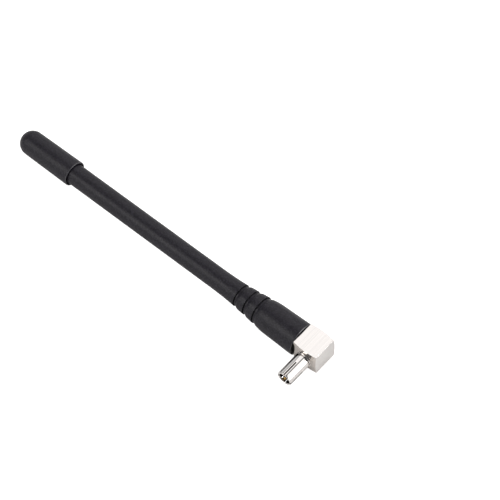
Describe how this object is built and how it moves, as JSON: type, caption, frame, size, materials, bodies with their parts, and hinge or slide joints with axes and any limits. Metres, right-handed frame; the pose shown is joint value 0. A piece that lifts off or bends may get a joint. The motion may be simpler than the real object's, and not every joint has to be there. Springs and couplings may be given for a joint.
{
  "type": "omnidirectional whip antenna",
  "caption": "Short black rubber whip antenna with a grooved strain relief and domed tip, on a fixed right-angle snap-in coaxial plug with a square metal elbow.",
  "frame": {"origin": "on the plug's axis, at the back edge of the sprung barrel, where the mating jack stops", "axes": "-Y out of the plug's mouth, -X along the whip towards its tip, +Z square to both, out of the elbow's flat top"},
  "size_m": [0.1, 0.0149, 0.0086],
  "materials": {
    "nickel": "bright nickel plate, brushed flats and polished turned faces",
    "crimp_nickel": "satin nickel plate",
    "gold": "gold plate",
    "rubber": "matte moulded rubber with a fine texture",
    "ptfe": "white PTFE",
    "solder": "bright solder",
    "adhesive": "translucent amber adhesive",
    "jacket": "smooth brown fluoropolymer",
    "tinned_copper": "tinned copper braid",
    "brass": "drawn brass",
    "foam_plastic": "soft white plastic",
    "shrink": "black shrink tube",
    "bronze": "spring bronze wire",
    "nylon": "natural nylon"
  },
  "bodies": {
    "root": {"elbow_body": "nickel", "rear_cover": "nickel", "plug_shell": "nickel", "cable_spigot": "crimp_nickel", "crimp_ferrule": "crimp_nickel", "centre_contact": "gold", "whip_sleeve": "rubber", "tip_cap": "rubber", "rear_insulator": "ptfe", "plug_insulator": "ptfe", "coax_dielectric": "ptfe", "contact_solder": "solder", "sleeve_solder": "solder", "feed_solder": "solder", "foot_adhesive": "adhesive", "coax_jacket": "jacket", "coax_braid": "tinned_copper", "coax_core": "tinned_copper", "ground_sleeve": "brass", "centring_rings": "foam_plastic", "feed_heat_shrink": "shrink", "radiator_coil": "bronze", "coil_former": "nylon", "coil_end_plug": "nylon"}
  },
  "joints": []
}
